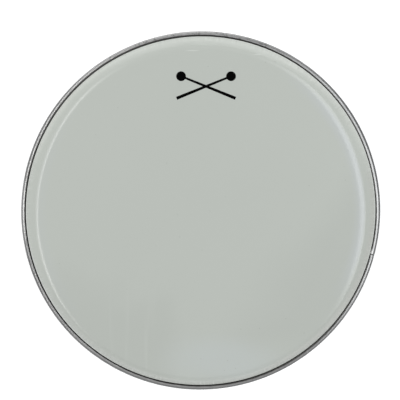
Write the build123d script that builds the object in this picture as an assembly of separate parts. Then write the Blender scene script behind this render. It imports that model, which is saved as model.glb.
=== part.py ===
"""Head for a 26 inch kettledrum: one ply of film potted into a 28 inch flesh hoop.

The flesh hoop is an aluminium strip folded into a channel that is open at the top. Its outer wall carries
a crown folded inward, and the crown ends in a short leg that hangs into the channel. The film lies flat
above the hoop, turns down at the crease, slopes outward as the collar, passes over the inner wall and
ends in a perforated flange inside the channel. Resin fills the channel's lower part, keys through the
flange's holes and locks in a steel stiffening ring and the splice plate behind the hoop's butt joint.

Frame: millimetres, +Z up through the film, +Y towards the printed mark, origin at the centre of the
circle that the hoop stands on.
"""
from math import asin, degrees
import os

from build123d import *
from build123d.topology import SkipClean

# ---- flesh hoop ----------------------------------------------------------------------------------
HOOP_OD = 711.2  # nominal 28 inch
HOOP_WIDTH = 11.8
HOOP_HEIGHT = 12.7
SHEET = 1.2  # thickness of the aluminium strip
INNER_WALL_TOP = 11.4
CROWN_WIDTH = 8.4
LEG_BOTTOM = 8.6
FOOT_BEND = 2.2  # bend radii on the middle of the strip
CROWN_OUTER_BEND = 4.8
CROWN_INNER_BEND = 0.8
SEAM_ANGLE = -14.0  # butt joint, degrees from +X towards +Y
SEAM_GAP = 1.2
HOOP_ARCS = 24

# ---- film ----------------------------------------------------------------------------------------
FILM = 0.25  # thickness
FLAT_TOP = 26.0  # height of the playing surface
CREASE_CORNER_R = 322.0
CREASE_BEND = 30.0
FLANGE_STANDOFF = 0.5  # from the inner wall to the middle of the film
LIP_CORNER_Z = 12.6
LIP_BEND = 2.2
FLANGE_BOTTOM = 2.2
KEY_HOLES = 72
KEY_HOLE_D = 2.4
KEY_HOLE_Z = 4.2

# ---- inside the channel --------------------------------------------------------------------------
RESIN_TOP = 6.0
RING_D = 3.6
RING_MEAN_R = 349.2
RING_Z = 3.4
SPLICE_LENGTH = 50.0
SPLICE_THICKNESS = 1.2
SPLICE_BOTTOM = 3.2
SPLICE_TOP = 7.0

# ---- printed mark: two crossed mallets -----------------------------------------------------------
INK = 0.05
MARK_CENTRE = (10.5, 246.0)
MALLET_TILT = 22.0  # degrees either side of +X
MALLET_LENGTH = 124.0
GRIP_WIDTH = 6.2
NECK_WIDTH = 4.0
FELT_D = 19.0

# ---- worked out ----------------------------------------------------------------------------------
HOOP_R = HOOP_OD / 2
BORE_R = HOOP_R - HOOP_WIDTH
WALL_FACE_R = BORE_R + SHEET  # channel side of the inner wall
OUTER_FACE_R = HOOP_R - SHEET  # channel side of the outer wall
FLANGE_R = WALL_FACE_R + FLANGE_STANDOFF


def section(path, thickness):
    """Sheet of even thickness about an open path drawn as (radius, height)."""
    return Plane.XZ * trace(path, thickness)


def ring(face, start=0.0, sweep=360.0, arcs=1):
    """Turn a radius-height section about +Z, from one angle through another, in equal arcs.

    Arcs keep their borders in the finished solid, so that the near and far side of a thin wall are divided
    alike wherever the surface is approximated by flats.
    """
    step = sweep / arcs
    first, *others = [Rot(0, 0, start + i * step) * revolve(face, Axis.Z, step) for i in range(arcs)]
    with SkipClean():
        return first.fuse(*others) if others else first


def make_flesh_hoop():
    half = SHEET / 2
    leg_r = HOOP_R - CROWN_WIDTH + half
    path = FilletPolyline(
        (BORE_R + half, INNER_WALL_TOP),
        (BORE_R + half, half),
        (HOOP_R - half, half),
        (HOOP_R - half, HOOP_HEIGHT - half),
        (leg_r, HOOP_HEIGHT - half),
        (leg_r, LEG_BOTTOM),
        radius=[FOOT_BEND, FOOT_BEND, CROWN_OUTER_BEND, CROWN_INNER_BEND],
    )
    gap = degrees(2 * asin(SEAM_GAP / 2 / HOOP_R))
    return ring(section(path, SHEET), SEAM_ANGLE + gap / 2, 360 - gap, HOOP_ARCS)


def make_film():
    middle = FLAT_TOP - FILM / 2
    path = FilletPolyline(
        (0, middle),
        (CREASE_CORNER_R, middle),
        (FLANGE_R, LIP_CORNER_Z),
        (FLANGE_R, FLANGE_BOTTOM),
        radius=[CREASE_BEND, LIP_BEND],
    )
    punch = Pos(0, 0, KEY_HOLE_Z) * Rot(0, 90, 0) * Cylinder(KEY_HOLE_D / 2, 4 * FILM)
    holes = [place * punch for place in PolarLocations(FLANGE_R, KEY_HOLES)]
    return ring(section(path, FILM)) - holes


def make_insert_ring():
    return Pos(0, 0, RING_Z) * Torus(RING_MEAN_R, RING_D / 2)


def make_splice():
    face = Pos(OUTER_FACE_R - SPLICE_THICKNESS / 2, (SPLICE_BOTTOM + SPLICE_TOP) / 2) * Rectangle(
        SPLICE_THICKNESS, SPLICE_TOP - SPLICE_BOTTOM
    )
    sweep = degrees(SPLICE_LENGTH / OUTER_FACE_R)
    return ring(Plane.XZ * face, SEAM_ANGLE - sweep / 2, sweep)


def make_resin(embedded):
    """The channel's lower part, less the pieces that stand in it."""
    face = make_face(
        Polyline(
            (WALL_FACE_R, SHEET),
            (OUTER_FACE_R, SHEET),
            (OUTER_FACE_R, RESIN_TOP),
            (WALL_FACE_R, RESIN_TOP),
            close=True,
        )
    )
    corners = face.vertices().group_by(Axis.Y)[0]
    face = fillet(corners, FOOT_BEND - SHEET / 2)
    return ring(Plane.XZ * face) - embedded


def mallet(tilt):
    """One mallet, felt ball up: a shaft that narrows towards a round head."""
    reach = MALLET_LENGTH / 2
    shaft = make_face(
        Polyline(
            (-reach, -GRIP_WIDTH / 2),
            (reach - FELT_D / 2, -NECK_WIDTH / 2),
            (reach - FELT_D / 2, NECK_WIDTH / 2),
            (-reach, GRIP_WIDTH / 2),
            close=True,
        )
    )
    felt = Pos(reach - FELT_D / 2, 0) * Circle(FELT_D / 2)
    return Rot(0, 0, tilt) * (shaft + felt)


def make_mark():
    outline = mallet(MALLET_TILT) + mallet(180 - MALLET_TILT)
    return Pos(*MARK_CENTRE, FLAT_TOP) * extrude(outline, INK)


film = make_film()
insert_ring = make_insert_ring()
splice = make_splice()
nodes = {
    "flesh_hoop": make_flesh_hoop(),
    "hoop_splice": splice,
    "insert_ring": insert_ring,
    "potting_resin": make_resin([film, insert_ring, splice]),
    "head_film": film,
    "printed_mark": make_mark(),
}

os.makedirs("parts", exist_ok=True)
for name, shape in nodes.items():
    shape.label = name
    export_step(shape, f"parts/{name}.step")
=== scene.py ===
"""A kettledrum head lying film up on a pale floor, seen from almost straight above.

The film, the flesh hoop and the printed mark are remade here as finer meshes on the CAD model's sections.
The resin, the stiffening ring and the splice plate stay as CAD nodes and only get their materials.
Lengths are metres and angles are degrees from +X towards +Y, in the CAD model's frame.
"""
import math

import bmesh
import bpy
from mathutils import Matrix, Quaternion, Vector
import numpy as np


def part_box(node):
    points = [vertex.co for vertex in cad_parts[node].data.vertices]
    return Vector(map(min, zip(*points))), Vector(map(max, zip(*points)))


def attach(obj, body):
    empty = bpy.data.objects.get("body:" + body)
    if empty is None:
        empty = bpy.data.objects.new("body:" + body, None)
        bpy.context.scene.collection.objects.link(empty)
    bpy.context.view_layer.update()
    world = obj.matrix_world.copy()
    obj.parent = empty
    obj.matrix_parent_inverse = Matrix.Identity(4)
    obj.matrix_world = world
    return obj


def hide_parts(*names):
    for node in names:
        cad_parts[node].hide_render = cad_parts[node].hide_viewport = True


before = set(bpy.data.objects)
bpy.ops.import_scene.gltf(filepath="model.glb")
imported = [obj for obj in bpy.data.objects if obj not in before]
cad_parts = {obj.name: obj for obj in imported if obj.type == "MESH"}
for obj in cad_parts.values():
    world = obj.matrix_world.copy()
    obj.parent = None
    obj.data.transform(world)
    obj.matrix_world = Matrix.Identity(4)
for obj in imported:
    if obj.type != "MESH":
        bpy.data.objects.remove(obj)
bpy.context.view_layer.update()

MM = 0.001

# ---- sizes: the outer ones are read from the frame, the section's own are the CAD model's ----------
hoop_low, hoop_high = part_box("flesh_hoop")
film_low, film_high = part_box("head_film")
mark_low, mark_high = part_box("printed_mark")

HOOP_R = max(hoop_high[0], hoop_high[1], -hoop_low[0], -hoop_low[1])
HOOP_HEIGHT = hoop_high[2]
HOOP_WIDTH = 11.8 * MM
STRIP = 1.2 * MM
INNER_WALL_TOP = 11.4 * MM
CROWN_WIDTH = 8.4 * MM
LEG_BOTTOM = 8.6 * MM
HOOP_BENDS = (2.2 * MM, 2.2 * MM, 4.8 * MM, 0.8 * MM)
SEAM_ANGLE = -14.0
SEAM_GAP = 1.2 * MM

FILM = 0.25 * MM
FLAT_TOP = film_high[2]
CREASE_CORNER_R = 322.0 * MM
FLANGE_R = HOOP_R - HOOP_WIDTH + STRIP + 0.5 * MM
FLANGE_BOTTOM = film_low[2]
LIP_CORNER_Z = 12.6 * MM
LIP_BEND = 2.2 * MM


# ---- angles and places -----------------------------------------------------------------------------
def at_angle(angle, radius, height):
    """The point at an angle round the axis, a distance from it and a height."""
    turn = math.radians(angle)
    return radius * math.cos(turn), radius * math.sin(turn), height


def apart(angle, middle):
    """Degrees from middle to angle, the short way round."""
    return (angle - middle + 180) % 360 - 180


def hump(off, spread):
    """1 in the middle, falling off smoothly on both sides to 0.37 at the distance spread."""
    return np.exp(-((off / spread) ** 2))


# ---- sections: paths of (radius, height) with rounded corners --------------------------------------
def rounded_path(points, radii, steps):
    """Points and left-hand unit normals along a path whose corners are arcs of steps parts."""
    points = np.asarray(points, float)
    spots, normals = [points[0]], []
    first = points[1] - points[0]
    normals.append(np.array((-first[1], first[0])) / np.hypot(*first))
    for i, radius in enumerate(radii, start=1):
        into = points[i] - points[i - 1]
        out = points[i + 1] - points[i]
        into, out = into / np.hypot(*into), out / np.hypot(*out)
        turn = math.atan2(into[0] * out[1] - into[1] * out[0], into @ out)
        side = math.copysign(1.0, turn)
        start = points[i] - into * radius * math.tan(abs(turn) / 2)
        left = np.array((-into[1], into[0]))
        centre = start + left * side * radius
        for k in range(steps + 1):
            a = turn * k / steps
            normal = np.array((left[0] * math.cos(a) - left[1] * math.sin(a),
                               left[0] * math.sin(a) + left[1] * math.cos(a)))
            spots.append(centre - normal * side * radius)
            normals.append(normal)
    last = points[-1] - points[-2]
    spots.append(points[-1])
    normals.append(np.array((-last[1], last[0])) / np.hypot(*last))
    return np.array(spots), np.array(normals)


def round_end(spot, normal, half, steps):
    """Half circle that closes a strip's end, from its left side round to its right side."""
    ahead = np.array((normal[1], -normal[0]))
    turns = (math.pi * k / steps for k in range(1, steps))
    return [spot + half * (normal * math.cos(a) + ahead * math.sin(a)) for a in turns]


def strip_section(points, radii, thickness, steps=8, end_steps=6):
    """Closed outline of a strip of even thickness with round edges, bent along a path."""
    spots, normals = rounded_path(points, radii, steps)
    half = thickness / 2
    left = spots + normals * half
    right = spots - normals * half
    far = round_end(spots[-1], normals[-1], half, end_steps)
    near = round_end(spots[0], -normals[0], half, end_steps)
    return np.array([*left, *far, *right[::-1], *near])


def add_between(outline, longest):
    """The closed outline with points added, so that no side is longer than longest."""
    out = []
    for a, b in zip(outline, np.roll(outline, -1, axis=0)):
        parts = max(1, math.ceil(np.hypot(*(b - a)) / longest))
        out.extend(a + (b - a) * k / parts for k in range(parts))
    return np.array(out)


# ---- meshes ----------------------------------------------------------------------------------------
def make_piece(name, vertices, faces, material):
    """A smooth-shaded object from vertices and faces, with its normals turned outward."""
    mesh = bpy.data.meshes.new(name)
    mesh.from_pydata([tuple(v) for v in vertices], [], faces)
    mesh.update()
    shaped = bmesh.new()
    shaped.from_mesh(mesh)
    bmesh.ops.recalc_face_normals(shaped, faces=shaped.faces)
    shaped.to_mesh(mesh)
    shaped.free()
    for face in mesh.polygons:
        face.use_smooth = True
    mesh.materials.append(material)
    piece = bpy.data.objects.new(name, mesh)
    bpy.context.scene.collection.objects.link(piece)
    return piece


def smooth_by_angle(piece, degrees):
    """Shades smoothly across edges that turn less than the angle and sharply across the others."""
    mesh = piece.data
    shaped = bmesh.new()
    shaped.from_mesh(mesh)
    for edge in shaped.edges:
        edge.smooth = len(edge.link_faces) == 2 and edge.calc_face_angle() < math.radians(degrees)
    shaped.to_mesh(mesh)
    shaped.free()


def grid_faces(rows, columns, rows_close, columns_close):
    """Quads of a rows by columns grid of vertices, row by row."""
    faces = []
    for i in range(rows if rows_close else rows - 1):
        for j in range(columns if columns_close else columns - 1):
            i2, j2 = (i + 1) % rows, (j + 1) % columns
            faces.append((i * columns + j, i2 * columns + j, i2 * columns + j2, i * columns + j2))
    return faces


# ---- the film's slight unevenness ------------------------------------------------------------------
def slow_waves(count, low, high, seed):
    """Sum of a few plane waves, given as (x frequency, y frequency, phase, share)."""
    draw = np.random.default_rng(seed)
    lengths = draw.uniform(low, high, count)
    headings = draw.uniform(0, 2 * math.pi, count)
    phases = draw.uniform(0, 2 * math.pi, count)
    waves = []
    for length, heading, phase in zip(lengths, headings, phases):
        pace = 2 * math.pi / length
        waves.append((pace * math.cos(heading), pace * math.sin(heading), phase, length / high))
    return waves


FILM_WAVES = slow_waves(7, 0.13, 0.42, seed=5)
FILM_WAVE_HEIGHT = 0.07 * MM


def film_rise(x, y):
    """How far the playing surface stands off its plane at a point."""
    total = sum(share * np.sin(fx * x + fy * y + p) for fx, fy, p, share in FILM_WAVES)
    return FILM_WAVE_HEIGHT * total


# ---- node helpers ----------------------------------------------------------------------------------
HEIGHT_COUNTS = 0.83  # share of a height that is added to the radius in patterns on the strip


class Shader:
    """A material under construction: short calls that add nodes and return the socket to use."""

    def __init__(self, name, **settings):
        self.material = bpy.data.materials.new(name)
        self.material.use_nodes = True
        self.tree = self.material.node_tree
        self.surface = self.tree.nodes["Principled BSDF"]
        for socket, value in settings.items():
            self.surface.inputs[socket.replace("_", " ")].default_value = value

    def add(self, kind, **settings):
        """A new node of a kind, with its settings."""
        node = self.tree.nodes.new(kind)
        for key, value in settings.items():
            setattr(node, key, value)
        return node

    def feed(self, socket, value):
        """Gives an input its value: a link from another node's socket, or a plain number or vector."""
        if isinstance(value, bpy.types.NodeSocket):
            self.tree.links.new(value, socket)
        else:
            socket.default_value = value

    def drive(self, name, value):
        """Feeds one of the surface's inputs."""
        self.feed(self.surface.inputs[name], value)

    def place(self):
        """The point in the CAD model's frame, in metres."""
        return self.add("ShaderNodeTexCoord").outputs["Object"]

    def math(self, operation, a, b=0.0):
        node = self.add("ShaderNodeMath", operation=operation)
        self.feed(node.inputs[0], a)
        self.feed(node.inputs[1], b)
        return node.outputs[0]

    def times(self, a, b):
        return self.math("MULTIPLY", a, b)

    def plus(self, a, b):
        return self.math("ADD", a, b)

    def minus(self, a, b):
        return self.math("SUBTRACT", a, b)

    def vector(self, operation, a, b=(0, 0, 0), scale=1.0):
        node = self.add("ShaderNodeVectorMath", operation=operation)
        self.feed(node.inputs[0], a)
        if operation == "SCALE":
            self.feed(node.inputs["Scale"], scale)
        else:
            self.feed(node.inputs[1], b)
        return node.outputs["Value" if operation == "LENGTH" else "Vector"]

    def distance(self, where, spot, stretch=(1, 1, 1)):
        """How far a point is from a spot, when each axis counts as many times as stretch says."""
        off = self.vector("SUBTRACT", where, spot)
        return self.vector("LENGTH", self.vector("MULTIPLY", off, stretch))

    def from_axis(self, where):
        return self.distance(where, (0, 0, 0), (1, 1, 0))

    def noise(self, where, scale, detail=3.0, rough=0.5):
        """Cloudy values around 0.5."""
        node = self.add("ShaderNodeTexNoise")
        self.feed(node.inputs["Vector"], where)
        node.inputs["Scale"].default_value = scale
        node.inputs["Detail"].default_value = detail
        node.inputs["Roughness"].default_value = rough
        return node.outputs["Fac"]

    def specks(self, where, scale, size):
        """1 in sparse small round spots and 0 elsewhere."""
        node = self.add("ShaderNodeTexVoronoi", feature="F1")
        self.feed(node.inputs["Vector"], where)
        node.inputs["Scale"].default_value = scale
        return self.span(node.outputs["Distance"], size, size * 0.5, 0.0, 1.0)

    def span(self, value, low, high, to_low, to_high):
        """Value mapped from low..high to to_low..to_high, held at both ends."""
        node = self.add("ShaderNodeMapRange", clamp=True, interpolation_type="SMOOTHSTEP")
        self.feed(node.inputs["Value"], value)
        for key, number in (("From Min", low), ("From Max", high), ("To Min", to_low), ("To Max", to_high)):
            node.inputs[key].default_value = number
        return node.outputs["Result"]

    def blend(self, share, first, second):
        """Colour between two colours by a share from 0 to 1."""
        # of the node's sockets, inputs 6 and 7 and output 2 are the ones for colours
        node = self.add("ShaderNodeMix", data_type="RGBA")
        self.feed(node.inputs[0], share)
        self.feed(node.inputs[6], first)
        self.feed(node.inputs[7], second)
        return node.outputs[2]

    def bump(self, height, strength, distance, before=None):
        """Surface direction tilted by a height pattern, on top of another bump if there is one before."""
        node = self.add("ShaderNodeBump")
        node.inputs["Strength"].default_value = strength
        node.inputs["Distance"].default_value = distance
        self.feed(node.inputs["Height"], height)
        if before is not None:
            self.feed(node.inputs["Normal"], before)
        return node.outputs["Normal"]

    def along_hoop(self, around, across):
        """Coordinates for a pattern on the strip: around and across say how fast it changes either way.

        Across, radius and height are added up, so that level and upright faces both get lines.
        """
        where = self.place()
        flat = self.vector("MULTIPLY", where, (1, 1, 0))
        radius = self.vector("LENGTH", flat)
        heading = self.vector("SCALE", self.vector("NORMALIZE", flat), scale=around)
        split = self.add("ShaderNodeSeparateXYZ")
        self.feed(split.inputs[0], where)
        profile = self.plus(radius, self.times(split.outputs["Z"], HEIGHT_COUNTS))
        join = self.add("ShaderNodeCombineXYZ")
        self.feed(join.inputs["Z"], self.times(profile, across))
        return self.vector("ADD", heading, join.outputs[0])


def colour(red, green, blue):
    """Linear colour with its alpha."""
    return (red, green, blue, 1.0)


# ---- how the real hoop differs from the even CAD one -----------------------------------------------
# the head isn't quite round: it stands out this much at the long axis and in as much across it
OVAL = 0.85 * MM
OVAL_AXIS = 43.0
# resin holds hoop and film in their CAD places up to a height, and they're free from a bit higher on
HELD_UP_TO = 5.0 * MM
FREE_AFTER = 6.0 * MM

# how much nearer the axis the film's edge and the crown's inner edge stand
SLOT_IN = 0.5 * MM
# how far outward the crown's inner edge stands: all round, and in stretches with a middle and a spread
SLOT_WIDER = -0.22 * MM
SLOT_STRETCHES = (
    (27.0, 31.0, -0.75 * MM),
    (135.0, 40.0, -0.70 * MM),
    (195.0, 42.0, 1.05 * MM),
    (306.0, 26.0, -0.15 * MM),
)
OUTER_KEPT = 4.5 * MM  # this much of the crown's outer side stays where it was
OUTER_BLEND = 1.5 * MM  # and inside it, the change grows over this distance
# distances from the hoop's outside: the outer part ends between the first two, and the part at the slot
# starts between the others
OUTER_PART = (8.0 * MM, 4.0 * MM)
SLOT_PART = (5.0 * MM, 7.0 * MM)

# the crown falls away towards its outer side: how far, from how far outside its leg, and over what width
CROWN_FALL = 0.6 * MM
CROWN_FALL_FROM = 1.4 * MM
CROWN_FALL_WIDTH = 2.4 * MM

# hand-fed rollers left waves: how far sideways, and how far up and down at the crown
ROLLED_SIDEWAYS = 0.05 * MM
ROLLED_UP = 0.035 * MM

# the joint's end at the smaller angle stands in and down from the other: how far, over how many degrees
LOW_END_IN = (0.30 * MM, 0.9)
LOW_END_DOWN = (0.22 * MM, 0.7)
FILED_CORNER = 0.35 * MM  # length of the filed corners along the hoop
FILED_SLOPE = 0.8

# the other end is beaten inward over the slot: how far, how far from the end, over what length
BEATEN_IN = 0.74 * MM
BEATEN_AT = 3.0 * MM
BEATEN_LONG = 2.9 * MM
# the beaten end is bare metal with a painted highlight on it
BEATEN_SPOT = at_angle(SEAM_ANGLE + 0.7, HOOP_R - 7.0 * MM, HOOP_HEIGHT)  # where it is bare metal

# and it has a swelling on its crown: where, length along the hoop and across it, height, how fast it falls
SWELLING_ANGLE = SEAM_ANGLE + 0.75
SWELLING_R = HOOP_R - 5.4 * MM
SWELLING_LONG = 3.0 * MM
SWELLING_WIDE = 1.6 * MM
SWELLING_HEIGHT = 0.50 * MM
SWELLING_FALL = 1.6

# dents: angle, radius and height of the middle, width, depth
DENTS = (
    (200.7, 349.4 * MM, 12.4 * MM, 5.6 * MM, 0.70 * MM),
    (203.9, 351.6 * MM, 12.0 * MM, 3.0 * MM, 0.50 * MM),
    (120.4, 351.4 * MM, 12.1 * MM, 4.0 * MM, 0.60 * MM),
    (155.0, 350.4 * MM, 12.3 * MM, 3.0 * MM, 0.50 * MM),
    (86.0, 353.0 * MM, 11.4 * MM, 3.6 * MM, 0.50 * MM),
    (99.0, 351.0 * MM, 12.1 * MM, 2.2 * MM, 0.30 * MM),
    (300.0, 351.6 * MM, 12.0 * MM, 1.6 * MM, 0.20 * MM),
    (36.0, 350.6 * MM, 12.3 * MM, 1.6 * MM, 0.20 * MM),
)
DENT_DOWN = 0.8  # share of a dent's depth that goes down
DENT_IN = 0.5  # and share that goes inward, this close to the outer wall only
DENT_WALL = 3.0 * MM


# ---- materials -------------------------------------------------------------------------------------
# painted highlights, short pale glints near the crease's top: middle, and one over the half length along x,
# along y and upward
PAINTED_GLINTS = (
    ((-0.016, 0.3155, FLAT_TOP), (55.0, 600.0, 1.0)),
    ((0.111, 0.308, FLAT_TOP), (85.0, 700.0, 1.0)),
)


def film_material():
    """Hazy polyester film: satin, grey with a breath of green, faint clouds, tints, specks and rub marks,
    with painted reflections, highlights, light and shade.
    """
    m = Shader("hazy_film", IOR=1.57)
    where = m.place()
    split = m.add("ShaderNodeSeparateXYZ")
    m.feed(split.inputs[0], where)
    x, y, z = split.outputs
    radius = m.from_axis(where)

    def down_collar(start, end, most=1.0):
        """Rises outward from 0 to most, between two distances past the crease's corner, in mm."""
        return m.span(radius, CREASE_CORNER_R + start * MM, CREASE_CORNER_R + end * MM, 0.0, most)

    clouds = m.noise(where, 5.0, detail=2.0)
    base = m.blend(clouds, colour(0.4615, 0.4875, 0.4500), colour(0.4725, 0.4990, 0.4610))
    # two large areas are a shade duller, with ragged borders: low on the left, and down the right
    ragged = m.times(m.minus(clouds, 0.5), 0.25)
    low = m.span(m.plus(y, ragged), -0.12, -0.23, 0.0, 1.0)
    low_left = m.times(low, m.span(m.plus(x, ragged), -0.05, -0.13, 0.0, 1.0))
    aslant = m.minus(m.plus(x, ragged), m.times(y, 0.8))
    right_side = m.span(aslant, 0.20, 0.36, 0.0, 1.0)
    low_right = m.times(right_side, m.span(y, -0.30, -0.22, 0.2, 1.0))
    dull = m.times(m.math("MAXIMUM", low_left, low_right), 0.74)
    base = m.blend(dull, base, colour(0.436, 0.460, 0.425))
    # painted reflections, faintly blue and lighter: in one patch near the rim, and inside the crease at the
    # sides
    painted_reflection_patch = m.distance(where, (0.05, -0.292, FLAT_TOP), (1.0, 2.2, 1.0))
    wavy = m.plus(painted_reflection_patch, m.times(m.minus(clouds, 0.5), 0.12))
    base = m.blend(m.span(wavy, 0.14, 0.03, 0.0, 0.55), base, colour(0.486, 0.521, 0.511))
    # painted reflection of the side lamps just inside the crease, strongest on the right
    inner = down_collar(-26, -6)
    outer = m.span(radius, CREASE_CORNER_R + 4 * MM, CREASE_CORNER_R - 4 * MM, 0.0, 1.0)
    right = m.times(m.span(x, 0.14, 0.27, 0.0, 0.62), m.span(y, -0.19, -0.07, 0.0, 1.0))
    sides = m.plus(right, m.span(x, -0.22, -0.31, 0.0, 0.18))
    ring = m.times(m.times(inner, outer), sides)
    base = m.blend(ring, base, colour(0.474, 0.502, 0.506))
    # the collar is warmer where it was drawn down hardest; it has painted shade towards -Y, and painted
    # light towards +Y where the top lamp falls on it
    towards = m.minus(m.times(x, 0.87), m.times(y, 0.5))
    drawn = m.times(m.span(towards, 0.21, 0.31, 0.0, 0.75), down_collar(5, 18))
    base = m.blend(drawn, base, colour(0.456, 0.464, 0.430))
    # painted shade on the collar's -Y side
    below = m.times(m.span(y, -0.20, -0.31, 0.0, 0.7), down_collar(10, 18))
    base = m.blend(below, base, colour(0.395, 0.415, 0.385))
    # painted light on the collar's +Y side, which faces the top lamp
    painted_top_light = m.times(m.span(y, 0.05, 0.17, 0.0, 1.0), m.span(y, 0.26, 0.34, 1.0, 0.3))
    painted_top_light = m.times(painted_top_light, down_collar(8, 20, 0.9))
    base = m.blend(painted_top_light, base, colour(0.540, 0.565, 0.522))
    # the forming die left fine marks that run down the collar, some pale and some dark
    die = m.noise(m.along_hoop(130.0, 18.0), 1.0, detail=3.0, rough=0.6)
    pale = m.times(m.span(die, 0.52, 0.70, 0.0, 0.55), down_collar(9, 19))
    base = m.blend(pale, base, colour(0.56, 0.585, 0.555))
    dark = m.times(m.span(die, 0.48, 0.30, 0.0, 0.45), down_collar(9, 19))
    base = m.blend(dark, base, colour(0.41, 0.43, 0.40))
    # rub streaks on the lower part, small dull flecks and gel specks
    aside = m.vector("ADD", where, (0.18, 0.0, 0.0))
    streaks = m.noise(m.vector("MULTIPLY", aside, (38.0, 2.2, 1.0)), 1.0, detail=3.0)
    rubs = m.times(m.span(streaks, 0.60, 0.78, 0.0, 0.42), low)
    base = m.blend(rubs, base, colour(0.51, 0.538, 0.502))
    haze = m.noise(where, 38.0, detail=5.0, rough=0.6)
    base = m.blend(m.span(haze, 0.62, 0.85, 0.0, 0.35), base, colour(0.442, 0.467, 0.431))
    gels = m.specks(where, 34.0, 0.045)
    base = m.blend(m.times(gels, 0.55), base, colour(0.32, 0.34, 0.31))
    # painted highlights: short pale glints on the film near the top of the crease
    for middle, reach in PAINTED_GLINTS:
        off = m.distance(where, middle, reach)
        base = m.blend(m.span(off, 1.0, 0.3, 0.0, 0.6), base, colour(0.60, 0.63, 0.59))
    # painted highlight where the lip bends down into the channel, and painted shade of the slot below it,
    # over some resin smear
    lip_highlight = m.span(radius, FLANGE_R - 3.0 * MM, FLANGE_R - 1.2 * MM, 0.0, 0.85)
    base = m.blend(lip_highlight, base, colour(0.58, 0.60, 0.57))
    # painted shade of the slot, over some resin smear
    slot_shade_and_smear = m.span(z, LIP_CORNER_Z - 3.2 * MM, LIP_CORNER_Z - 0.9 * MM, 0.9, 0.0)
    base = m.blend(slot_shade_and_smear, base, colour(0.07, 0.07, 0.06))
    m.drive("Base Color", base)

    rubbed = m.noise(where, 24.0, detail=5.0, rough=0.6)
    m.drive("Roughness", m.span(rubbed, 0.3, 0.7, 0.255, 0.270))
    fine = m.noise(where, 900.0, detail=2.0)
    m.drive("Normal", m.bump(fine, 0.05, 0.2 * MM))
    return m.material


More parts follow.
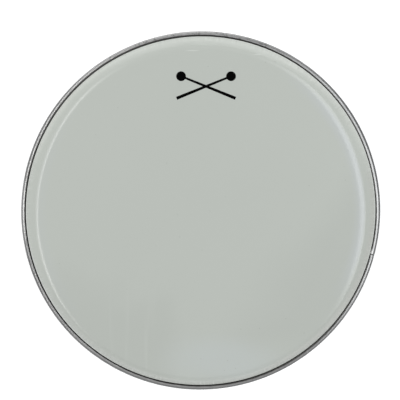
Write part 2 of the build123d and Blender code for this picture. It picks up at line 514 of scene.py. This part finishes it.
def aluminium_material():
    """Mill-finish strip: lines drawn along it, dull patches, stains, pits and nicks, with painted dark
    reflection, painted shade at the slot over some grime, painted highlight and shade along the crown, and a
    painted highlight at the joint.
    """
    m = Shader("hoop_aluminium", Metallic=1.0)
    lines = m.noise(m.along_hoop(1.4, 5200.0), 1.0, detail=4.0, rough=0.7)
    patches = m.noise(m.along_hoop(26.0, 320.0), 1.0, detail=4.0, rough=0.6)
    where = m.place()
    split = m.add("ShaderNodeSeparateXYZ")
    m.feed(split.inputs[0], where)
    x, y = split.outputs["X"], split.outputs["Y"]
    mottle = m.noise(where, 210.0, detail=4.0, rough=0.6)
    base = m.blend(patches, colour(0.43, 0.43, 0.425), colour(0.53, 0.53, 0.525))
    base = m.blend(m.span(lines, 0.40, 0.62, 0.0, 0.30), base, colour(0.30, 0.30, 0.297))
    base = m.blend(m.span(mottle, 0.58, 0.78, 0.0, 0.3), base, colour(0.30, 0.30, 0.295))
    # handling has stained the strip most on the side of the mark
    stains = m.noise(m.along_hoop(70.0, 240.0), 1.0, detail=4.0, rough=0.7)
    marked_side = m.span(y, 0.29, 0.34, 0.0, 1.0)
    stained = m.times(m.span(stains, 0.545, 0.62, 0.0, 0.80), marked_side)
    base = m.blend(stained, base, colour(0.20, 0.20, 0.195))
    pits = m.specks(where, 520.0, 0.16)
    base = m.blend(m.times(pits, 0.35), base, colour(0.16, 0.155, 0.15))
    # painted dark reflection on the crown's outer part, and painted shade of the slot over some grime, both
    # with ragged borders
    ragged = m.plus(m.from_axis(where), m.times(m.minus(patches, 0.5), 1.6 * MM))
    painted_dark_shoulder = m.span(ragged, HOOP_R - 4.9 * MM, HOOP_R - 2.9 * MM, 0.0, 0.90)
    # painted highlight and shade on the crown: the metal is darker along long stretches of the two sides and
    # on the upper right, and brighter on a short stretch on the left, so that the lamps' highlights are
    # narrower
    sides = m.span(m.math("ABSOLUTE", x), 0.08, 0.22, 1.0, 0.90)
    left = m.span(x, -0.22, -0.29, 1.0, 0.78)
    painted_bright_left = m.span(x, -0.343, -0.351, 1.0, 1.6)
    right = m.times(m.span(x, 0.0, 0.12, 0.0, 1.0), m.span(y, 0.02, 0.20, 0.07, 0.27))
    painted_highlight_scale = m.times(sides, m.times(left, painted_bright_left))
    painted_highlight_scale = m.times(painted_highlight_scale, m.minus(1.0, right))
    base = m.vector("SCALE", base, scale=painted_highlight_scale)
    # the painted dark reflection is weaker towards +Y and on the left
    painted_dark_shoulder = m.times(painted_dark_shoulder, m.span(y, 0.18, 0.34, 1.0, 0.35))
    painted_dark_shoulder = m.times(painted_dark_shoulder, m.span(x, -0.20, 0.20, 0.72, 1.0))
    base = m.blend(painted_dark_shoulder, base, colour(0.115, 0.117, 0.118))
    # painted shade of the slot along the crown's inner edge, over some grime
    slot_edge = HOOP_R - CROWN_WIDTH
    slot_shade_and_grime = m.span(ragged, slot_edge + 0.5 * MM, slot_edge + 1.5 * MM, 0.85, 0.0)
    # the beaten end at the joint is bare metal, with a painted highlight on it
    from_end = m.distance(where, BEATEN_SPOT)
    slot_shade_and_grime = m.times(slot_shade_and_grime, m.span(from_end, 4.5 * MM, 8.0 * MM, 0.0, 1.0))
    base = m.blend(slot_shade_and_grime, base, colour(0.05, 0.048, 0.045))
    base = m.blend(m.span(from_end, 3.4 * MM, 1.2 * MM, 0.0, 0.6), base, colour(0.68, 0.68, 0.66))
    # nicks: bare metal with a dark, torn edge
    torn = m.times(m.minus(m.noise(where, 650.0, detail=3.0), 0.5), 3.2 * MM)
    for angle, r, z, width, _ in DENTS:
        away = m.plus(m.distance(where, at_angle(angle, r, z)), torn)
        base = m.blend(m.span(away, width * 0.55, width * 0.30, 0.0, 0.7), base, colour(0.07, 0.07, 0.07))
        base = m.blend(m.span(away, width * 0.30, width * 0.10, 0.0, 1.0), base, colour(0.72, 0.72, 0.71))
    m.drive("Base Color", base)
    worn = m.plus(patches, m.times(lines, 0.4))
    m.drive("Roughness", m.span(worn, 0.45, 0.95, 0.31, 0.42))
    drawn = m.bump(lines, 0.25, 0.05 * MM)
    m.drive("Normal", m.bump(mottle, 0.05, 0.3 * MM, before=drawn))
    return m.material


def steel_material():
    """Drawn wire with fine lengthwise lines."""
    m = Shader("ring_steel", Metallic=1.0)
    lines = m.noise(m.along_hoop(1.0, 6000.0), 1.0, detail=4.0, rough=0.7)
    m.drive("Base Color", m.blend(lines, colour(0.34, 0.345, 0.355), colour(0.52, 0.53, 0.54)))
    m.drive("Roughness", m.span(lines, 0.3, 0.7, 0.28, 0.42))
    m.drive("Normal", m.bump(lines, 0.2, 0.05 * MM))
    return m.material


def resin_material():
    """Dark poured resin with slow flow marks, small bubbles and dust."""
    m = Shader("potting_resin", Specular_IOR_Level=0.35)
    flow = m.noise(m.along_hoop(60.0, 160.0), 1.0, detail=3.0)
    where = m.place()
    bubbles = m.specks(where, 700.0, 0.22)
    base = m.blend(flow, colour(0.018, 0.017, 0.015), colour(0.045, 0.041, 0.034))
    m.drive("Base Color", m.blend(m.times(bubbles, 0.4), base, colour(0.09, 0.08, 0.065)))
    m.drive("Roughness", m.span(flow, 0.3, 0.7, 0.35, 0.6))
    m.drive("Normal", m.bump(flow, 0.4, 0.6 * MM))
    return m.material


def ink_material():
    """Screen-printed black, slightly uneven, thinner in pinholes."""
    m = Shader("black_ink", Specular_IOR_Level=0.02)
    where = m.place()
    lay = m.noise(where, 420.0, detail=4.0, rough=0.6)
    holes = m.specks(where, 600.0, 0.10)
    base = m.blend(lay, colour(0.0002, 0.0002, 0.0002), colour(0.001, 0.001, 0.001))
    m.drive("Base Color", m.blend(m.times(holes, 0.25), base, colour(0.03, 0.032, 0.03)))
    m.drive("Roughness", m.span(lay, 0.3, 0.7, 0.42, 0.58))
    m.drive("Normal", m.bump(lay, 0.1, 0.1 * MM))
    return m.material


FLOOR_GLOW = 0.45  # light that the floor gives off, so that it reads as plain white


def floor_material():
    """White studio sweep."""
    m = Shader("white_sweep", Roughness=0.9, Specular_IOR_Level=0.1)
    grain = m.noise(m.place(), 14.0, detail=3.0)
    m.drive("Base Color", m.blend(grain, colour(0.90, 0.90, 0.90), colour(0.92, 0.92, 0.92)))
    m.surface.inputs["Emission Color"].default_value = colour(1.0, 1.0, 1.0)
    m.surface.inputs["Emission Strength"].default_value = FLOOR_GLOW
    return m.material


# ---- flesh hoop ------------------------------------------------------------------------------------
HOOP_STEPS = 500  # even angles round the hoop, before more are added
LONGEST_SIDE = 1.3 * MM  # of the section's outline
SHARP_TURN = 40  # edges that turn more than this many degrees are shaded sharp


def oval(turn):
    """How far outward the head stands at an angle in radians."""
    return OVAL * np.cos(2 * (turn - math.radians(OVAL_AXIS)))


def free_share(height):
    """0 for what the resin holds in its CAD place, rising to 1 a bit higher up."""
    return np.clip((height - HELD_UP_TO) / FREE_AFTER, 0, 1)


def slot_widening(turn):
    """How far outward the crown's inner edge stands at an angle in radians."""
    outward = SLOT_WIDER
    for middle, spread, most in SLOT_STRETCHES:
        outward = outward + most * hump(apart(np.degrees(turn), middle), spread)
    return outward


def hoop_angles(start, end):
    """Angles round the hoop in degrees, closer together at each dent and at both ends."""
    angles = list(np.linspace(start, end, HOOP_STEPS))
    for middle, *_ in DENTS:
        angles.extend(middle + np.linspace(-0.9, 0.9, 25))
    angles.extend(start + np.linspace(0.0, 1.6, 30))
    angles.extend(end - np.linspace(0.0, 1.2, 16))
    kept = sorted(a for a in angles if start <= a <= end)
    return np.array([a for i, a in enumerate(kept) if i == 0 or a - kept[i - 1] > 1e-4])


def hoop_outline():
    """Points (radius, height) round the section of the folded strip."""
    half = STRIP / 2
    leg_r = HOOP_R - CROWN_WIDTH + half
    path = (
        (HOOP_R - HOOP_WIDTH + half, INNER_WALL_TOP - half),
        (HOOP_R - HOOP_WIDTH + half, half),
        (HOOP_R - half, half),
        (HOOP_R - half, HOOP_HEIGHT - half),
        (leg_r, HOOP_HEIGHT - half),
        (leg_r, LEG_BOTTOM + half),
    )
    return add_between(strip_section(path, HOOP_BENDS, STRIP), LONGEST_SIDE)


def make_flesh_hoop(material):
    """The folded strip rolled to an open ring, with the marks that making and handling left on it."""
    outline = hoop_outline()
    gap = math.degrees(SEAM_GAP / HOOP_R)
    angles = np.radians(hoop_angles(SEAM_ANGLE + gap / 2, SEAM_ANGLE + 360 - gap / 2))
    count = len(outline)
    radius = np.tile(outline[:, 0], (len(angles), 1))
    height = np.tile(outline[:, 1], (len(angles), 1))
    turn = angles[:, None]
    # shares from 0 to 1 that say where a change works: on the crown's inner side, on what is free above
    # the resin, on the outer wall with the outer crown, and more and more towards the top
    on_crown = (height > LEG_BOTTOM - 0.1 * MM) & (radius > HOOP_R - CROWN_WIDTH - 0.3 * MM)
    inner = np.clip((HOOP_R - OUTER_KEPT - radius) / OUTER_BLEND, 0, 1) * on_crown
    upper_share = free_share(height)
    outer_share = np.interp(HOOP_R - radius, OUTER_PART[::-1], (1, 0))
    share = (outline[None, :, 1] / HOOP_HEIGHT) ** 2
    # the crown falls away a little towards its outer side, all along
    out = np.clip(radius - (HOOP_R - CROWN_WIDTH + CROWN_FALL_FROM), 0, None) * (height > HOOP_HEIGHT / 2)
    height -= CROWN_FALL * (1 - hump(out, CROWN_FALL_WIDTH))
    # rolled by hand-fed rollers: a little out of round, and the crown a little up and down
    radius += ROLLED_SIDEWAYS * (np.sin(3 * turn + 0.7) + 0.6 * np.sin(11 * turn + 2.1) - 1.0)
    height += share * ROLLED_UP * (np.sin(7 * turn + 1.9) + 0.7 * np.sin(17 * turn) - 1.7)
    # the two ends don't quite meet: one stands in and down from the other
    since = np.degrees(angles - angles[0])[:, None]
    before = np.degrees(angles[-1] - angles)[:, None]
    radius -= LOW_END_IN[0] * hump(before, LOW_END_IN[1]) * share
    height -= LOW_END_DOWN[0] * hump(before, LOW_END_DOWN[1]) * share
    # the slot is wider in some places than in others, and the other end is beaten inward over it
    radius += inner * slot_widening(turn)
    radius -= BEATEN_IN * inner * hump(np.radians(since) * HOOP_R - BEATEN_AT, BEATEN_LONG)
    # the ends' corners are filed round
    for away in (np.radians(since) * HOOP_R, np.radians(before) * HOOP_R):
        height -= share * np.clip(FILED_CORNER - away, 0, None) * FILED_SLOPE
    x, y = radius * np.cos(turn), radius * np.sin(turn)
    near_wall = outline[None, :, 0] > HOOP_R - DENT_WALL
    for angle, r, z, width, depth in DENTS:
        dent_x, dent_y, _ = at_angle(angle, r, z)
        distance = (x - dent_x) ** 2 + (y - dent_y) ** 2 + (height - z) ** 2
        hit = depth * np.exp(-distance / (2 * (width / 2) ** 2))
        height -= hit * DENT_DOWN
        radius -= hit * DENT_IN * near_wall
    # the swelling on the beaten end's crown; the distance along is the shorter way round
    along = (turn - math.radians(SWELLING_ANGLE)) * HOOP_R / SWELLING_LONG
    along = np.minimum(abs(along), abs(along - 2 * math.pi * HOOP_R / SWELLING_LONG))
    across = (radius - SWELLING_R) / SWELLING_WIDE
    top = height > HOOP_HEIGHT - 2.2 * STRIP
    height += top * SWELLING_HEIGHT * np.exp(-(along ** 2 + across ** 2) * SWELLING_FALL)
    # the outer wall and all that is above the resin are out of round, and what lies at the slot stands
    # nearer the axis
    slot_share = np.interp(HOOP_R - radius, SLOT_PART, (0, 1))
    radius += oval(turn) * np.maximum(upper_share, outer_share) - SLOT_IN * upper_share * slot_share
    x, y = radius * np.cos(turn), radius * np.sin(turn)
    vertices = np.stack((x, y, height), axis=-1).reshape(-1, 3)
    faces = grid_faces(len(angles), count, rows_close=False, columns_close=True)
    faces.append(tuple(range(count)))
    faces.append(tuple(len(vertices) - count + j for j in range(count)))
    piece = make_piece("flesh_hoop_skin", vertices, faces, material)
    smooth_by_angle(piece, SHARP_TURN)
    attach(piece, "root")
    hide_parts("flesh_hoop")


# ---- film ------------------------------------------------------------------------------------------
# the crease turns down in two bends: bend radii on the tight side and on the soft side
FIRST_BEND = (23.0 * MM, 50.0 * MM)
SECOND_BEND = (22.0 * MM, 12.0 * MM)
FIRST_TURN = 16.0
SECOND_HALF_TURN = 8.0  # a bit more than half of what is left to turn down to the collar's slope
LEG_INSIDE = 0.45  # this share of the leg between the bends lies inside the CAD crease's corner
SOFT_MIDDLE = 8.0  # the crease is softest on this side, over this spread, and lies farther in there
SOFT_SPREAD = 44.0
SOFT_INWARD = 1.5 * MM
CREASE_OVAL = 5.0 * MM  # how much farther out the crease lies on the +Y and -Y sides
CREASE_SHIFT = 2.5 * MM  # how far the crease's ring is off centre, towards -Y
# stretches where the crease lies farther out (or in): middle, half length in degrees, how far
CREASE_WANDERS = (
    (10.0, 11.0, -1.3 * MM),
    (48.0, 14.0, 1.4 * MM),
    (90.0, 14.0, -2.0 * MM),
    (326.0, 13.0, 2.2 * MM),
)
EDGE_OVAL = 0.28 * MM  # how much farther out of round the film's edge is than the hoop
EDGE_OVAL_AXIS = 172.0
COLLAR_BELLY = 0.9 * MM  # how far the collar stands out of a plain cone, two thirds of the way down
BELLY_SCALE = 27 / 4  # way ** 2 * (1 - way) is 4 / 27 at its highest, two thirds of the way
RIPPLE = 0.10 * MM
WAVES_FADE = 12.0 * MM  # the film's unevenness dies out over this distance before the flange
FILM_ANGLES = 480
FLAT_RINGS = 32
FLAT_EDGE = 302.0 * MM
BEND_STEPS = 10
SLOPE_STEPS = 14
WALL_STEPS = 4


def softness(angle):
    """1 where the crease is softest, 0 where it is tight."""
    return math.exp(-((apart(angle, SOFT_MIDDLE) / SOFT_SPREAD) ** 4))


def film_side(angle, side):
    """One face of the film at an angle round the head, from near the axis out and down to the flange."""
    middle = FLAT_TOP - FILM / 2
    soft = softness(angle)
    first, second = (tight + (wide - tight) * soft for tight, wide in (FIRST_BEND, SECOND_BEND))
    turn = math.radians(FIRST_TURN)
    leg = first * math.tan(turn / 2) + second * math.tan(math.radians(SECOND_HALF_TURN))
    sine = math.sin(math.radians(angle))
    corner = CREASE_CORNER_R + CREASE_OVAL * sine ** 2 - CREASE_SHIFT * sine
    corner -= SOFT_INWARD * soft + leg * LEG_INSIDE
    for wander, spread, outward in CREASE_WANDERS:
        corner += outward * hump(apart(angle, wander), spread)
    spots, normals = rounded_path(
        (
            (0, middle),
            (corner, middle),
            (corner + leg * math.cos(turn), middle - leg * math.sin(turn)),
            (FLANGE_R, LIP_CORNER_Z),
            (FLANGE_R, FLANGE_BOTTOM),
        ),
        (first, second, LIP_BEND),
        BEND_STEPS,
    )
    face = spots + normals * side * FILM / 2
    flat = [(r, face[0][1]) for r in np.linspace(0, FLAT_EDGE, FLAT_RINGS)[1:]]
    lip_start = 1 + 2 * (BEND_STEPS + 1)
    crease, lip = face[1:lip_start], face[lip_start:-1]
    slope = [crease[-1] + (lip[0] - crease[-1]) * k / SLOPE_STEPS for k in range(1, SLOPE_STEPS)]
    wall = [lip[-1] + (face[-1] - lip[-1]) * k / WALL_STEPS for k in range(1, WALL_STEPS + 1)]
    return np.array([*flat, *crease, *slope, *lip, *wall])


def make_film(material):
    """The film as one closed skin: its faces from the axis out, its edge, and a point at each centre."""
    angles = np.arange(FILM_ANGLES) * 360 / FILM_ANGLES
    tops = np.array([film_side(a, 1) for a in angles])
    unders = np.array([film_side(a, -1) for a in angles])
    rings = np.concatenate((tops, unders[:, ::-1]), axis=1)
    turn = np.radians(angles)[:, None]
    radius, height = rings[:, :, 0], rings[:, :, 1]
    # the collar was pressed in a heated die: faint ripples that die out at the crease and at the hoop
    way = np.clip((radius - CREASE_CORNER_R) / (FLANGE_R - CREASE_CORNER_R), 0, 1)
    height = height + COLLAR_BELLY * BELLY_SCALE * way ** 2 * (1 - way)
    ripple = np.sin(math.pi * way) ** 2
    height = height + ripple * RIPPLE * (
        np.sin(19 * turn + 1.0) + 0.8 * np.sin(31 * turn + 0.4) + 0.5 * np.sin(53 * turn + 2.0)
    )
    # it follows the hoop out of round, most at its edge, and is held by the resin below
    inward = np.clip((FLANGE_R - radius) / WAVES_FADE, 0, 1)
    edge_oval = EDGE_OVAL * np.cos(2 * (turn - math.radians(EDGE_OVAL_AXIS)))
    outward = oval(turn) * radius / HOOP_R + (edge_oval - SLOT_IN) * way
    radius = radius + free_share(height) * outward
    x, y = radius * np.cos(turn), radius * np.sin(turn)
    height = height + film_rise(x, y) * inward
    vertices = np.stack((x, y, height), axis=-1).reshape(-1, 3)
    columns = rings.shape[1]
    faces = grid_faces(FILM_ANGLES, columns, rows_close=True, columns_close=False)
    hub = film_rise(0.0, 0.0)
    centre = np.array(((0, 0, FLAT_TOP + hub), (0, 0, FLAT_TOP - FILM + hub)))
    above, below = len(vertices), len(vertices) + 1
    for i in range(FILM_ANGLES):
        i2 = (i + 1) % FILM_ANGLES
        faces.append((above, i * columns, i2 * columns))
        faces.append((below, i2 * columns + columns - 1, i * columns + columns - 1))
    piece = make_piece("head_film_skin", np.concatenate((vertices, centre)), faces, material)
    smooth_by_angle(piece, SHARP_TURN)
    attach(piece, "root")
    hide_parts("head_film")


# ---- printed mark ----------------------------------------------------------------------------------
MARK_CELL = 5.0 * MM


def make_mark(material):
    """The CAD mark, cut into small faces and laid on the film's unevenness."""
    shaped = bmesh.new()
    shaped.from_mesh(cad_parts["printed_mark"].data)
    bmesh.ops.remove_doubles(shaped, verts=shaped.verts, dist=1e-6)
    bmesh.ops.dissolve_limit(shaped, angle_limit=math.radians(1), verts=shaped.verts, edges=shaped.edges)
    for axis in (0, 1):
        normal = Vector((axis == 0, axis == 1, 0))
        for at in np.arange(mark_low[axis] + MARK_CELL, mark_high[axis], MARK_CELL):
            everything = shaped.verts[:] + shaped.edges[:] + shaped.faces[:]
            bmesh.ops.bisect_plane(shaped, geom=everything, plane_co=normal * at, plane_no=normal)
    for vertex in shaped.verts:
        vertex.co.z += film_rise(vertex.co.x, vertex.co.y)
    mesh = bpy.data.meshes.new("printed_mark_skin")
    shaped.to_mesh(mesh)
    shaped.free()
    mesh.materials.append(material)
    piece = bpy.data.objects.new("printed_mark_skin", mesh)
    bpy.context.scene.collection.objects.link(piece)
    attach(piece, "root")
    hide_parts("printed_mark")


# ---- studio ----------------------------------------------------------------------------------------
FLOOR_SIZE = 24.0
FLOOR_DROP = 0.2 * MM  # how far the floor lies under the hoop's foot
SOFTBOX_DISTANCE = 5.0
LENS, SENSOR = 85.0, 36.0  # of the camera, in the millimetres that Blender counts them in
VIEW_WIDTH = 791.9 * MM  # of the plane through the hoop, across the picture
VIEW_AIM = (-1.3 * MM, 23.5 * MM, HOOP_HEIGHT / 2)
VIEW_TILT = math.radians(2.5)  # from straight above, towards the mark
# the ceiling light: sine of the elevation, brightness
SKY = ((0.0, 1.0), (0.12, 1.0), (0.30, 0.52), (0.70, 0.46), (0.95, 0.50))


def make_floor():
    """A wide white floor just under the hoop."""
    side = FLOOR_SIZE / 2
    corners = ((-side, -side, 0), (side, -side, 0), (side, side, 0), (-side, side, 0))
    floor = make_piece("floor", corners, [(0, 1, 2, 3)], floor_material())
    floor.location.z = -FLOOR_DROP


def make_sky():
    """Even ceiling light that falls off towards the walls, and a white band at the horizon."""
    world = bpy.data.worlds.new("studio")
    bpy.context.scene.world = world
    world.use_nodes = True
    tree = world.node_tree
    split = tree.nodes.new("ShaderNodeSeparateXYZ")
    ramp = tree.nodes.new("ShaderNodeValToRGB")
    place = tree.nodes.new("ShaderNodeTexCoord")
    tree.links.new(place.outputs["Generated"], split.inputs[0])
    tree.links.new(split.outputs["Z"], ramp.inputs["Fac"])
    tree.links.new(ramp.outputs["Color"], tree.nodes["Background"].inputs["Color"])
    ramp.color_ramp.interpolation = "EASE"
    for _ in range(len(SKY) - 2):
        ramp.color_ramp.elements.new(0.5)
    for stop, (at, level) in zip(ramp.color_ramp.elements, SKY):
        stop.position = at
        stop.color = colour(level, level, level * 1.01)


def add_softbox(name, azimuth, from_zenith, roll, size, brightness, tint):
    """Rectangular light aimed at the head: size is (level side, sloping side), brightness its radiance."""
    a, p = math.radians(azimuth), math.radians(from_zenith)
    out = Vector((math.sin(p) * math.cos(a), math.sin(p) * math.sin(a), math.cos(p)))
    lamp = bpy.data.lights.new(name, "AREA")
    lamp.shape = "RECTANGLE"
    lamp.size, lamp.size_y = size
    lamp.energy = brightness * math.pi * size[0] * size[1]
    lamp.color = tint
    light = bpy.data.objects.new(name, lamp)
    bpy.context.scene.collection.objects.link(light)
    light.location = out * SOFTBOX_DISTANCE
    light.rotation_mode = "QUATERNION"
    light.rotation_quaternion = out.to_track_quat("Z", "Y") @ Quaternion((0, 0, 1), math.radians(roll))


def make_camera():
    """A long lens over the head, tilted a little so that it looks from the mark's side."""
    distance = VIEW_WIDTH / 2 / math.tan(math.atan(SENSOR / 2 / LENS))
    data = bpy.data.cameras.new("camera")
    data.lens, data.sensor_width = LENS, SENSOR
    camera = bpy.data.objects.new("camera", data)
    bpy.context.scene.collection.objects.link(camera)
    bpy.context.scene.camera = camera
    back = Vector((0.0, math.sin(VIEW_TILT), math.cos(VIEW_TILT)))
    camera.location = Vector(VIEW_AIM) + back * distance
    camera.rotation_euler = (-VIEW_TILT, 0.0, 0.0)


# ---- everything ------------------------------------------------------------------------------------
make_camera()
make_sky()
make_floor()
add_softbox("right_softbox", 6, 32, 9, (5.0, 1.8), 3.15, (0.96, 0.985, 1.0))
add_softbox("left_softbox", 181, 35, -11, (6.0, 0.55), 8.6, (1.0, 1.0, 0.99))
add_softbox("top_softbox", 88, 72, 0, (7.5, 1.0), 2.0, (1.0, 1.0, 1.0))

make_flesh_hoop(aluminium_material())
make_film(film_material())
make_mark(ink_material())

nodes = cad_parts
for node, material in (
    ("potting_resin", resin_material()),
    ("insert_ring", steel_material()),
    ("hoop_splice", aluminium_material()),
):
    for slot in nodes[node].material_slots:
        slot.material = material

bpy.context.scene.view_settings.view_transform = "Standard"
bpy.context.scene.view_settings.look = "None"
